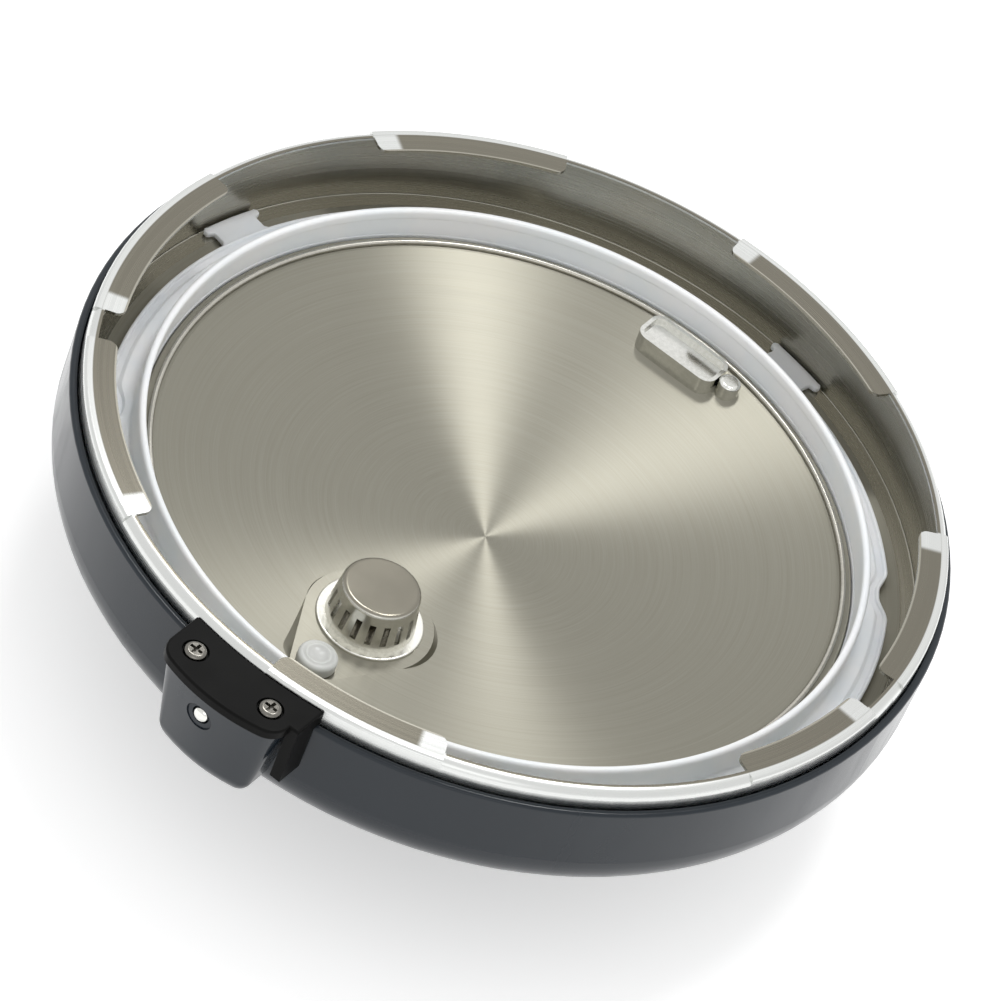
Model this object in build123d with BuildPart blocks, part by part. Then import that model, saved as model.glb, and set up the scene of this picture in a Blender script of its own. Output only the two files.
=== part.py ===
from build123d import *
import os
from math import cos, radians, sin, sqrt

# Pressure-cooker lid with its silicone sealing ring, in millimetres.
# The lid lies underside up and stands on the flat of its top handle, which is at z = 0.
# +Z points out of the lid's hollow. The two ears lie on the Y axis, the steam vent and the
# float valve on its -Y side, and the handle runs along X.

os.makedirs("parts", exist_ok=True)

# ---------------------------------------------------------------- driving dimensions

# Clearances
soft_clearance = 0.3        # between a soft part and its seat
seat_clearance = 0.02       # between a piece and the curved face it is held against
running_clearance = 0.05    # radial, between a shaft and the bore that guides it
shell_clearance = 0.3       # between the cover and the skirt it slips over
tab_clearance = 1.0         # between the ring's tabs and the skirt
lug_clearance = 1.0         # between the ring's flange and the lug tips that it passes
hoop_clearance = 0.1        # between the hoop and its groove
pick_tolerance = 0.01       # for telling edges and corners apart
cut_margin = 2.0            # by which a cutter passes what it cuts

# Sealing ring
ring_inner_radius = 110.0
ring_flange_width = 11.5    # from the bore to the flange's edge
ring_height = 13.0
ring_lip_wall = 2.4
ring_flange_thickness = 3.0
ring_edge_thickness = 1.9
ring_edge_width = 3.6
ring_bead = 0.7
ring_bead_round = 0.55
ring_lip_round = 1.1
ring_tab_count = 4
ring_turn = -57.0           # of the ring in the lid, which puts two tabs under lugs
tab_length = 8.5            # from the flange's edge to the tab's end
tab_neck_width = 16.5
tab_head_width = 21.6
tab_head_depth = 2.6
tab_neck_round = 2.2
tab_tip_round = 1.2
scallop_radius = 8.5
scallop_depth = 3.0
scallop_round = 4.0

# Lid pan
sheet = 1.0
disc_ledge = 4.7            # from the disc's edge out to the step
disc_sag = 16.0
step_height = 2.5
step_round = 0.6
skirt_height = 27.0
skirt_round = 0.5
shoulder_round = 2.0        # where the skirt turns in at the rim, between the lugs
shoulder_lip = 0.5          # level part beyond it
rim_start_radius = 126.0    # where the seat ends and the part that carries the lugs begins
seat_margin = 5.0           # by which the cut between the two reaches over the seat
lug_edge_round = 1.2        # of the rim's outer edge at a lug
lug_tip_round = 3.0
lug_places = (              # middle of each lug and its width, in degrees round the rim
    (-131.5, 31.0),
    (-76.0, 24.0),
    (-12.0, 22.5),
    (21.0, 29.5),
    (77.5, 32.0),
    (134.0, 28.0),
    (191.0, 33.0),
)
hoop_offset = 1.8           # from the disc's edge to the hoop's centre line
hoop_wire_radius = 0.9
hoop_groove_depth = 0.3     # of the hoop in the disc

# Flat round the valves
float_inset = 16.0          # from the disc's edge in to the float
valve_spacing = 26.5        # from the float to the vent
flat_rise = 7.5             # above the disc's centre
flat_vent_radius = 19.5
flat_float_radius = 7.5
flat_slope = 30.0

# Outer cover
cover_wall = 2.5
cover_gap = 9.5             # between the pan's back and the cover, at the centre
cover_band = 6.0            # bare skirt above the cover's edge
cover_corner = 15.0
cover_crown_radius = 800.0
cover_edge_round = 1.0

# Top handle
handle_height = 34.0
handle_length = 128.0
handle_width = 40.0
grip_thickness = 12.0
foot_length = 27.0
handle_edge_round = 4.0
handle_end_round = 12.0
grip_hole_round = 7.0
handle_screw_inset = 14.0   # from the handle's end
handle_screw_sink = 15.0
screw_shank_radius = 2.0
screw_head_radius = 4.2
screw_head_height = 2.6
screw_head_round = 1.0
head_clearance = 0.6
cross_width = 1.0           # driver recess in every screw head
cross_depth = 1.2
cross_rim = 1.4
stud_radius = 5.0
stud_engagement = 8.0

# Ear
ear_width = 41.0
ear_depth = 15.6
ear_side_depth = 11.5
ear_height = 34.0
ear_taper = 9.0
ear_side_round = 7.0
ear_bottom_round = 9.0
ear_plate_thickness = 3.0
ear_plate_drop = 1.2        # from the rim down to the plate's top
ear_plate_overhang = 0.8
ear_plate_edge_round = 0.8
ear_leg_width = 3.5
ear_leg_height = 18.0
ear_leg_depth = 7.0
ear_screw_distance = 27.0
ear_screw_sink = 1.2
ear_screw_length = 15.0
ear_head_radius = 3.4
ear_head_height = 2.0
ear_head_round = 1.2
ear_shank_radius = 1.6
bracket_thickness = 1.5
bracket_width = 34.0
bracket_depth = 15.0
bracket_round = 5.0

# Lock pin in the ear
pin_radius = 2.8
pin_offset = 2.3
pin_drop = 8.9              # below the plate
pin_reach = 4.0             # of the tip, inside the skirt
pin_travel = 4.0
pin_sink = 1.5              # of the pin's end, below the ear's face
pin_collar_radius = 4.3
pin_collar_thickness = 2.0
pin_recess_radius = 4.5
pin_recess_depth = 2.5
pin_dome_round = 2.2
pin_tip_round = 1.4
pin_hole_clearance = 0.4
pin_collar_gap = 0.3
spring_wire_radius = 0.35
spring_radius = 3.75
spring_turns = 4

# Steam vent and filter cap
vent_radius = 4.0
vent_bore_radius = 1.5
vent_flange_radius = 8.0
vent_flange_height = 3.0
vent_inner_length = 4.0
vent_nozzle_radius = 2.4
vent_nozzle_length = 4.0
gasket_thickness = 1.0
nut_across_flats = 13.0
nut_height = 5.0
cap_top_radius = 11.8
cap_base_radius = 13.6
cap_flange_radius = 16.2
cap_flange_thickness = 1.0
cap_height = 14.5
cap_wall = 0.9
cap_top_round = 1.6
cap_flange_round = 0.5
cap_slot_count = 18
cap_slot_width = 1.9
cap_slot_height = 7.0
cap_slot_rise = 2.4         # from the cap's flange up to the slots

# Float valve
float_pin_radius = 2.0
float_head_radius = 3.8
float_head_height = 1.5
float_head_rise = 1.6
float_cap_radius = 6.0
float_cap_height = 4.4
float_cap_round = 1.4
float_tip_round = 1.0
float_travel = 5.0
float_proud = 0.6           # of the pin's end, outside the cover
bush_wall = 2.4
float_hole_clearance = 1.6

# Release knob, its collar and the valve weight
collar_radius = 12.0
collar_wall = 2.0
collar_flange_radius = 14.5
collar_flange_thickness = 1.2
collar_drop = 7.5
collar_rim = 1.0            # of the collar's end, inside the cover
boss_radius = 18.5
boss_drop = 0.6             # below the cover's crown
boss_round = 0.5
knob_radius = 16.5
knob_floor = 3.0
knob_height = 21.0
knob_gap = 0.3
knob_edge_round = 2.0
knob_lever_length = 31.0
knob_lever_width = 11.0
knob_lever_height = 10.0
weight_clearance = 0.3
weight_height = 13.0
weight_seat = 5.0           # from the weight's lower face up to the nozzle's end
weight_lift = 2.0

# Bracket on the disc's edge
edge_bracket_length = 29.0
edge_bracket_width = 13.5
edge_bracket_rise = 1.0     # of its floor above the disc's edge
edge_bracket_rim = 1.3
edge_bracket_rim_height = 1.5
edge_bracket_round = 4.0
edge_boss_radius = 3.6
edge_boss_height = 2.0      # above the bracket's floor
edge_boss_round = 1.2

# ---------------------------------------------------------------- levels and radii that follow

ring_flange_radius = ring_inner_radius + ring_flange_width
ring_tab_radius = ring_flange_radius + tab_length
step_radius = ring_inner_radius - soft_clearance
disc_radius = step_radius - disc_ledge
float_distance = disc_radius - float_inset
vent_distance = float_distance - valve_spacing
handle_screw_distance = handle_length / 2 - handle_screw_inset
crown_z = handle_height
pan_back_z = crown_z + cover_wall + cover_gap
disc_z = pan_back_z + sheet
edge_z = disc_z + disc_sag
seat_z = edge_z - step_height
rim_z = seat_z + skirt_height
flat_z = disc_z + flat_rise
dome_radius = (disc_radius**2 + disc_sag**2) / (2 * disc_sag)
skirt_inner_radius = ring_tab_radius + tab_clearance
skirt_outer_radius = skirt_inner_radius + sheet
lug_inner_radius = ring_flange_radius + lug_clearance
shoulder_radius = skirt_inner_radius - shoulder_round - shoulder_lip
shoulder_z = rim_z - shoulder_round - sheet
hoop_radius = disc_radius + hoop_offset
cover_inner_radius = skirt_outer_radius + shell_clearance
cover_outer_radius = cover_inner_radius + cover_wall
cover_top_z = rim_z - cover_band
ear_face_radius = cover_outer_radius + ear_depth
plate_top_z = rim_z - ear_plate_drop
plate_z = plate_top_z - ear_plate_thickness
pin_z = plate_z - pin_drop
bush_radius = float_pin_radius + running_clearance + bush_wall
vent_axis = Axis((0, -vent_distance, 0), (0, 0, 1))


def dome_height(radius, offset=0.0):
    """Height of the disc's upper face at a radius, or of a face that lies offset below it."""
    reach = dome_radius + offset
    return disc_z + dome_radius - sqrt(reach**2 - radius**2)


def crown_height(radius, offset=0.0):
    """Height of the cover's outer face at a radius inside its corner, or offset above it."""
    reach = cover_crown_radius - offset
    return crown_z + cover_crown_radius - sqrt(reach**2 - radius**2)


def radial_plane(angle):
    """Upright plane through the lid's axis, its x pointing outward at the angle."""
    turn = radians(angle)
    return Plane(origin=(0, 0, 0), x_dir=(cos(turn), sin(turn), 0), z_dir=(sin(turn), -cos(turn), 0))


def level(height, turn=0.0):
    """Level plane at a height, turned about the lid's axis."""
    return Plane.XY.rotated((0, 0, turn)).offset(height)


def pin_plane(distance):
    """Upright plane across the lock pin's axis, at a distance from the lid's centre."""
    return Plane(origin=(-pin_offset, -distance, pin_z), x_dir=(1, 0, 0), z_dir=(0, -1, 0))


def save(part, name):
    """Label a finished piece and write it under its name."""
    part.label = name
    export_step(part, f"parts/{name}.step")


# ---------------------------------------------------------------- sealing ring

ring_z = seat_z + soft_clearance
ring_top_z = ring_z + ring_height
lip_outer_radius = ring_inner_radius + ring_lip_wall
edge_inner_radius = ring_flange_radius - ring_edge_width
bead_radius = ring_flange_radius - 2 * ring_bead
edge_top_z = ring_z + ring_edge_thickness
ring_lip_z = ring_z + ring_flange_thickness

with BuildPart() as sealing_ring:
    with BuildSketch(Plane.XZ) as section:
        with BuildLine():
            Polyline(
                (ring_inner_radius, ring_z),
                (ring_flange_radius, ring_z),
                (ring_flange_radius, edge_top_z + ring_bead),
                (bead_radius, edge_top_z + ring_bead),
                (bead_radius - ring_bead, edge_top_z),
                (edge_inner_radius, edge_top_z),
                (edge_inner_radius - ring_flange_thickness / 2, ring_lip_z),
                (ring_inner_radius, ring_lip_z),
                close=True,
            )
        make_face()
        edge_corner = (ring_flange_radius, edge_top_z + ring_bead)
        fillet(section.vertices().sort_by_distance(edge_corner)[0], ring_bead_round)
    revolve(axis=Axis.Z)
    # T-shaped tabs, each a neck with a wider rounded head
    for tab in range(ring_tab_count):
        turn = ring_turn + 360 / ring_tab_count * (tab + 0.5)
        with BuildSketch(level(ring_z, turn)) as outline:
            with BuildLine():
                neck = tab_neck_width / 2
                head = tab_head_width / 2
                root = sqrt(bead_radius**2 - neck**2)
                throat = ring_tab_radius - tab_head_depth
                crest = sqrt(ring_tab_radius**2 - head**2)
                Polyline(
                    (crest, -head), (throat - tab_tip_round, -head), (throat - tab_tip_round, -neck),
                    (root, -neck), (root, neck), (throat - tab_tip_round, neck),
                    (throat - tab_tip_round, head), (crest, head),
                )
                ThreePointArc((crest, head), (ring_tab_radius, 0), (crest, -head))
            make_face()
            tips = outline.vertices().filter_by(lambda v: abs(abs(v.Y) - head) < pick_tolerance)
            fillet(tips, tab_tip_round)
            throats = outline.vertices().filter_by(
                lambda v: abs(abs(v.Y) - neck) < pick_tolerance and v.X > ring_flange_radius
            )
            fillet(throats, tab_tip_round)
        extrude(amount=ring_edge_thickness)
    neck_roots = sealing_ring.edges().filter_by(Axis.Z).filter_by(
        lambda e: abs(e.length - ring_edge_thickness) < pick_tolerance
        and Vector(e.center().X, e.center().Y, 0).length < ring_flange_radius + tab_clearance
    )
    fillet(neck_roots, tab_neck_round)
    # Scallops in the flange's edge, half way between the tabs, with rounded horns
    scallop_centre = ring_flange_radius - scallop_depth + scallop_radius
    for scallop in range(ring_tab_count):
        with BuildSketch(level(ring_z, ring_turn + 360 / ring_tab_count * scallop)) as outline:
            with Locations((scallop_centre, 0)):
                Rectangle(3 * scallop_radius, 4 * scallop_radius)
            Circle(ring_flange_radius, mode=Mode.SUBTRACT)
            with Locations((scallop_centre, 0)):
                Circle(scallop_radius)
            horns = outline.vertices().filter_by(
                lambda v: abs(sqrt(v.X**2 + v.Y**2) - ring_flange_radius) < pick_tolerance
                and abs(v.Y) < 1.5 * scallop_radius
            )
            fillet(horns, scallop_round)
        extrude(amount=ring_height, mode=Mode.SUBTRACT)
save(sealing_ring.part, "sealing_ring")

with BuildPart() as ring_lip:
    with BuildSketch(Plane.XZ) as section:
        with BuildLine():
            Polyline(
                (ring_inner_radius, ring_lip_z),
                (lip_outer_radius, ring_lip_z),
                (lip_outer_radius, ring_top_z),
                (ring_inner_radius, ring_top_z),
                close=True,
            )
        make_face()
        fillet(section.vertices().group_by(Axis.Y)[-1], ring_lip_round)
    revolve(axis=Axis.Z)
save(ring_lip.part, "ring_lip")

# ---------------------------------------------------------------- lid pan

with BuildPart() as below_flat:
    # Everything under the disc's back, to trim the raised flat from below
    with BuildSketch(Plane.XZ):
        with BuildLine():
            Line((0, 0), (0, dome_height(0, sheet)))
            ThreePointArc(
                (0, dome_height(0, sheet)),
                (disc_radius / 2, dome_height(disc_radius / 2, sheet)),
                (disc_radius, dome_height(disc_radius, sheet)),
            )
            Line((disc_radius, dome_height(disc_radius, sheet)), (disc_radius, 0))
            Line((disc_radius, 0), (0, 0))
        make_face()
    revolve(axis=Axis.Z)
with BuildPart() as above_disc:
    # Everything over the disc's upper face, to trim what is sunk into it
    with BuildSketch(Plane.XZ):
        with BuildLine():
            Line((0, rim_z), (0, disc_z))
            ThreePointArc(
                (0, disc_z),
                (disc_radius / 2, dome_height(disc_radius / 2)),
                (disc_radius, edge_z),
            )
            Polyline((disc_radius, edge_z), (step_radius, edge_z), (step_radius, rim_z), (0, rim_z))
        make_face()
    revolve(axis=Axis.Z)


def valve_flat(height, inset, amount):
    """Solid on the outline of the flat round the valves, widening away from its face."""
    with BuildPart() as shape:
        with BuildSketch(Plane.XY.offset(height)):
            with Locations((0, -vent_distance)):
                Circle(flat_vent_radius - inset)
            with Locations((0, -float_distance)):
                Circle(flat_float_radius - inset)
            make_hull()
        extrude(amount=amount, taper=-flat_slope)
    return shape.part


with BuildPart() as raised_flat:
    add(valve_flat(flat_z, 0, -flat_rise))
    add(below_flat.part, mode=Mode.SUBTRACT)
with BuildPart() as sunk_flat:
    add(valve_flat(flat_z - sheet, -sheet, flat_rise))
    add(above_disc.part, mode=Mode.SUBTRACT)

with BuildPart() as lid_pan:
    with BuildSketch(Plane.XZ) as section:
        with BuildLine():
            ThreePointArc(
                (0, disc_z), (disc_radius / 2, dome_height(disc_radius / 2)), (disc_radius, edge_z)
            )
            Polyline(
                (disc_radius, edge_z),
                (step_radius, edge_z),
                (step_radius, seat_z),
                (skirt_inner_radius, seat_z),
                (skirt_inner_radius, rim_z - sheet),
                (lug_inner_radius, rim_z - sheet),
                (lug_inner_radius, rim_z),
                (skirt_outer_radius, rim_z),
                (skirt_outer_radius, seat_z - sheet),
                (step_radius - sheet, seat_z - sheet),
                (step_radius - sheet, edge_z - sheet),
                (disc_radius, dome_height(disc_radius, sheet)),
            )
            ThreePointArc(
                (disc_radius, dome_height(disc_radius, sheet)),
                (disc_radius / 2, dome_height(disc_radius / 2, sheet)),
                (0, dome_height(0, sheet)),
            )
            Line((0, dome_height(0, sheet)), (0, disc_z))
        make_face()
        bends = (
            (step_radius, edge_z, step_round),
            (step_radius - sheet, edge_z - sheet, step_round / 2),
            (step_radius - sheet, seat_z - sheet, step_round),
            (skirt_inner_radius, seat_z, skirt_round),
            (skirt_outer_radius, seat_z - sheet, skirt_round + sheet),
            (skirt_inner_radius, rim_z - sheet, shoulder_round),
            (skirt_outer_radius, rim_z, lug_edge_round),
        )
        for radius, height, bend in bends:
            fillet(section.vertices().sort_by_distance((radius, height))[0], bend)
    revolve(axis=Axis.Z)
    # Groove for the hoop along the disc's edge
    with BuildSketch(Plane.XZ):
        with Locations((hoop_radius, edge_z + hoop_wire_radius - hoop_groove_depth)):
            Circle(hoop_wire_radius + hoop_clearance)
    revolve(axis=Axis.Z, mode=Mode.SUBTRACT)
    # Gaps between the lugs, where the skirt only turns in by its rounded shoulder
    for here, after in zip(lug_places, lug_places[1:] + lug_places[:1]):
        start = here[0] + here[1] / 2
        gap_angle = (after[0] - after[1] / 2 - start) % 360
        with BuildSketch(radial_plane(start)):
            with BuildLine():
                Polyline(
                    (shoulder_radius, rim_z),
                    (shoulder_radius, rim_z - sheet - cut_margin),
                    (lug_inner_radius - cut_margin, rim_z - sheet - cut_margin),
                    (lug_inner_radius - cut_margin, rim_z + cut_margin),
                    (skirt_outer_radius + cut_margin, rim_z + cut_margin),
                    (skirt_outer_radius + cut_margin, shoulder_z),
                    (skirt_outer_radius, shoulder_z),
                )
                RadiusArc(
                    (skirt_outer_radius, shoulder_z),
                    (skirt_outer_radius - shoulder_round - sheet, rim_z),
                    -shoulder_round - sheet,
                )
                Line((skirt_outer_radius - shoulder_round - sheet, rim_z), (shoulder_radius, rim_z))
            make_face()
        revolve(axis=Axis.Z, revolution_arc=gap_angle, mode=Mode.SUBTRACT)
    lug_tips = lid_pan.edges().filter_by(Axis.Z).filter_by(
        lambda e: abs(Vector(e.center().X, e.center().Y, 0).length - lug_inner_radius) < pick_tolerance
    )
    fillet(lug_tips, lug_tip_round)
    # Raised and sunk flat that carries the vent and the float
    add(raised_flat.part)
    add(sunk_flat.part)
    add(valve_flat(flat_z, 0, flat_rise + disc_sag), mode=Mode.SUBTRACT)
    add(valve_flat(flat_z - sheet, sheet, -flat_rise), mode=Mode.SUBTRACT)
    # Holes for the vent pipe, the float and the lock pin
    with BuildSketch(Plane.XY.offset(rim_z)):
        with Locations((0, -vent_distance)):
            Circle(vent_radius + seat_clearance)
        with Locations((0, -float_distance)):
            Circle(float_pin_radius + float_hole_clearance)
    extrude(amount=-(rim_z - crown_z), mode=Mode.SUBTRACT)
    with BuildSketch(pin_plane(step_radius + pin_reach)):
        Circle(pin_radius + running_clearance)
    extrude(amount=skirt_outer_radius - step_radius, mode=Mode.SUBTRACT)
with BuildPart() as dished_part:
    # The disc and its seat, up to where the skirt's corner begins
    with BuildSketch(Plane.XY):
        Circle(rim_start_radius)
    extrude(amount=seat_z + seat_margin)
with BuildPart() as lid_disc:
    add(lid_pan.part)
    add(dished_part.part, mode=Mode.INTERSECT)
save(lid_disc.part, "lid_pan")
with BuildPart() as lid_rim:
    add(lid_pan.part)
    add(dished_part.part, mode=Mode.SUBTRACT)
save(lid_rim.part, "lid_rim")

# ---------------------------------------------------------------- hoop and bracket on the disc's edge

hoop_z = edge_z + hoop_wire_radius - hoop_groove_depth
with BuildPart() as disc_hoop:
    with BuildSketch(Plane.XZ):
        with Locations((hoop_radius, hoop_z)):
            Circle(hoop_wire_radius)
    revolve(axis=Axis.Z)
save(disc_hoop.part, "disc_hoop")

corner_reach = hoop_radius - hoop_wire_radius - shell_clearance - edge_bracket_round
corner_x = edge_bracket_length / 2 - edge_bracket_round
bracket_centre = sqrt(corner_reach**2 - corner_x**2) + edge_bracket_round - edge_bracket_width / 2
floor_z = edge_z + edge_bracket_rise
with BuildPart() as edge_bracket:
    with BuildSketch(Plane.XY.offset(floor_z + edge_bracket_rim_height)):
        with Locations((0, bracket_centre)):
            RectangleRounded(edge_bracket_length, edge_bracket_width, edge_bracket_round)
    extrude(amount=-edge_bracket_rim_height - disc_sag)
    with BuildSketch(Plane.XY.offset(floor_z)):
        with Locations((0, bracket_centre)):
            RectangleRounded(
                edge_bracket_length - 2 * edge_bracket_rim,
                edge_bracket_width - 2 * edge_bracket_rim,
                edge_bracket_round - edge_bracket_rim,
            )
    extrude(amount=edge_bracket_rim_height, mode=Mode.SUBTRACT)
    add(above_disc.part, mode=Mode.INTERSECT)
save(edge_bracket.part, "edge_bracket")

with BuildPart() as bracket_stud:
    with BuildSketch(Plane.XY.offset(floor_z + edge_boss_height)):
        with Locations((edge_bracket_length / 2 + edge_boss_radius + running_clearance, bracket_centre)):
            Circle(edge_boss_radius)
    extrude(amount=-edge_boss_height - disc_sag)
    add(above_disc.part, mode=Mode.INTERSECT)
    fillet(bracket_stud.edges().group_by(Axis.Z)[-1], edge_boss_round)
save(bracket_stud.part, "bracket_stud")

# ---------------------------------------------------------------- outer cover


def cover_form(grow, height):
    """Solid inside the cover's outer face, grown outward by a distance, up to a height."""
    radius = cover_outer_radius + grow
    with BuildPart() as form:
        with BuildSketch(Plane.XZ) as section:
            with BuildLine():
                ThreePointArc(
                    (0, crown_height(0, -grow)),
                    (radius / 2, crown_height(radius / 2, -grow)),
                    (radius, crown_height(radius, -grow)),
                )
                Polyline((radius, crown_height(radius, -grow)), (radius, height), (0, height))
                Line((0, height), (0, crown_height(0, -grow)))
            make_face()
            corner = section.vertices().sort_by_distance((radius, crown_height(radius, -grow)))[0]
            fillet(corner, cover_corner + cover_wall + grow)
        revolve(axis=Axis.Z)
    return form.part


boss_z = crown_z - boss_drop
with BuildPart() as outer_cover:
    add(cover_form(0, cover_top_z))
    with BuildSketch(Plane.XY.offset(boss_z)):
        with Locations((0, -vent_distance)):
            Circle(boss_radius)
    extrude(amount=crown_height(vent_distance + boss_radius, cover_wall) - boss_z)
    fillet(outer_cover.edges().group_by(Axis.Z)[0], boss_round)
    add(cover_form(-cover_wall, cover_top_z), mode=Mode.SUBTRACT)
    fillet(outer_cover.edges().group_by(Axis.Z)[-1], cover_edge_round)
    with BuildSketch(Plane.XY.offset(crown_z - cover_wall)):
        with Locations((0, -vent_distance)):
            Circle(collar_radius + seat_clearance)
        with Locations((0, -float_distance)):
            Circle(bush_radius + seat_clearance)
        with Locations((-handle_screw_distance, 0), (handle_screw_distance, 0)):
            Circle(screw_shank_radius + shell_clearance)
    extrude(amount=cover_top_z - crown_z, mode=Mode.SUBTRACT)
    with BuildSketch(pin_plane(step_radius)):
        Circle(pin_radius + pin_hole_clearance)
    extrude(amount=cover_outer_radius - step_radius + cover_wall, mode=Mode.SUBTRACT)
save(outer_cover.part, "outer_cover")

# ---------------------------------------------------------------- top handle, its screws and studs

grip_hole_length = handle_length - 2 * foot_length
foot_top_z = crown_height(handle_length / 2, cover_wall)
with BuildPart() as top_handle:
    with BuildSketch(Plane.XZ.offset(-handle_width / 2)):
        with Locations((0, foot_top_z / 2)):
            Rectangle(handle_length, foot_top_z)
    extrude(amount=handle_width)
    fillet(top_handle.edges().filter_by(Axis.Z), handle_end_round)
    with BuildSketch(Plane.XZ.offset(-handle_width / 2)) as finger_gap:
        with Locations((0, grip_thickness + foot_top_z / 2)):
            Rectangle(grip_hole_length, foot_top_z)
        fillet(finger_gap.vertices().group_by(Axis.Y)[0], grip_hole_round)
    extrude(amount=handle_width, mode=Mode.SUBTRACT)
    fillet(top_handle.edges().group_by(Axis.Z)[0], handle_edge_round)
    add(cover_form(seat_clearance, cover_top_z), mode=Mode.SUBTRACT)
    with BuildSketch(Plane.XY):
        with Locations((-handle_screw_distance, 0), (handle_screw_distance, 0)):
            Circle(screw_head_radius + head_clearance)
    extrude(amount=handle_screw_sink, mode=Mode.SUBTRACT)
    with BuildSketch(Plane.XY):
        with Locations((-handle_screw_distance, 0), (handle_screw_distance, 0)):
            Circle(screw_shank_radius + shell_clearance)
    extrude(amount=foot_top_z, mode=Mode.SUBTRACT)
save(top_handle.part, "top_handle")

stud_z = crown_height(handle_screw_distance + stud_radius, cover_wall)
with BuildPart() as handle_studs:
    with BuildSketch(Plane.XY.offset(stud_z)):
        with Locations((-handle_screw_distance, 0), (handle_screw_distance, 0)):
            Circle(stud_radius)
            Circle(screw_shank_radius + seat_clearance, mode=Mode.SUBTRACT)
    extrude(amount=edge_z - stud_z)
    add(below_flat.part, mode=Mode.INTERSECT)
save(handle_studs.part, "handle_studs")


def cross_sketch(radius, plane):
    """Cross-shaped outline of the driver recess in a screw head whose face lies on the plane."""
    with BuildSketch(plane) as cross:
        Rectangle(2 * (radius - cross_rim), cross_width)
        Rectangle(cross_width, 2 * (radius - cross_rim))
    return cross.sketch


with BuildPart() as handle_screw:
    with BuildSketch(Plane.XY.offset(handle_screw_sink - screw_head_height)):
        Circle(screw_head_radius)
    extrude(amount=screw_head_height)
    fillet(handle_screw.edges().group_by(Axis.Z)[0], screw_head_round)
    with BuildSketch(Plane.XY.offset(handle_screw_sink)):
        Circle(screw_shank_radius)
    extrude(amount=stud_z + stud_engagement - handle_screw_sink)
    head_z = handle_screw_sink - screw_head_height
    head_face = Plane(origin=(0, 0, head_z), x_dir=(1, 0, 0), z_dir=(0, 0, -1))
    extrude(cross_sketch(screw_head_radius, head_face), amount=-cross_depth, mode=Mode.SUBTRACT)
with BuildPart() as handle_screws:
    with Locations((-handle_screw_distance, 0, 0), (handle_screw_distance, 0, 0)):
        add(handle_screw.part)
save(handle_screws.part, "handle_screws")

# ---------------------------------------------------------------- ear


def ear_outline(height, grow, inner_radius):
    """Plan of the ear at a height, grown sideways and outward, with rounded outer corners."""
    side = ear_width / 2 + grow
    shoulder = cover_outer_radius + ear_side_depth + grow
    with BuildSketch(Plane.XY.offset(height)) as plan:
        with BuildLine():
            Polyline((-side, -shoulder), (-side, -inner_radius), (side, -inner_radius), (side, -shoulder))
            ThreePointArc((side, -shoulder), (0, -ear_face_radius - grow), (-side, -shoulder))
        make_face()
        fillet(plan.vertices().group_by(Axis.Y)[0], ear_side_round)
    return plan.sketch


ear_root_radius = cover_outer_radius - cover_corner
bracket_z = plate_z - bracket_thickness
screw_y = -(cover_outer_radius + bracket_depth) / 2 - skirt_outer_radius / 2
screw_seat_z = plate_top_z - ear_screw_sink
screw_spots = ((-ear_screw_distance / 2, screw_y), (ear_screw_distance / 2, screw_y))

with BuildPart() as ear_bracket:
    with BuildSketch(Plane.XY.offset(bracket_z)) as strap:
        with Locations((0, -skirt_outer_radius)):
            Rectangle(bracket_width, 2 * bracket_depth)
        fillet(strap.vertices().group_by(Axis.Y)[0], bracket_round)
        Circle(skirt_outer_radius, mode=Mode.SUBTRACT)
        with Locations(*screw_spots):
            Circle(ear_shank_radius + running_clearance, mode=Mode.SUBTRACT)
    extrude(amount=bracket_thickness)
save(ear_bracket.part, "ear_bracket")

collar_start = cover_outer_radius + pin_collar_gap
spring_start = collar_start + pin_collar_thickness
spring_length = pin_travel + 2 * spring_wire_radius * (spring_turns + 1)
chamber_end = spring_start + spring_length
with BuildPart() as ear_block:
    extrude(ear_outline(plate_z, 0, ear_root_radius), amount=-ear_height, taper=ear_taper)
    fillet(ear_block.edges().group_by(Axis.Z)[0], ear_bottom_round)
    add(cover_form(seat_clearance, rim_z), mode=Mode.SUBTRACT)
    with BuildSketch(Plane.XY.offset(bracket_z)):
        with Locations((0, -skirt_outer_radius)):
            RectangleRounded(
                bracket_width + 2 * seat_clearance,
                2 * (bracket_depth + seat_clearance),
                bracket_round,
            )
    extrude(amount=bracket_thickness, mode=Mode.SUBTRACT)
    with BuildSketch(Plane.XY.offset(plate_z)):
        with Locations(*screw_spots):
            Circle(ear_shank_radius + seat_clearance)
    extrude(amount=-ear_screw_length, mode=Mode.SUBTRACT)
    with BuildSketch(pin_plane(step_radius)):
        Circle(pin_recess_radius)
    extrude(amount=chamber_end - step_radius, mode=Mode.SUBTRACT)
    with BuildSketch(pin_plane(step_radius)):
        Circle(pin_radius + running_clearance)
    extrude(amount=ear_face_radius - step_radius, mode=Mode.SUBTRACT)
    with BuildSketch(pin_plane(ear_face_radius - pin_recess_depth)):
        Circle(pin_recess_radius)
    extrude(amount=pin_recess_depth, mode=Mode.SUBTRACT)
save(ear_block.part, "ear_block")

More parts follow.
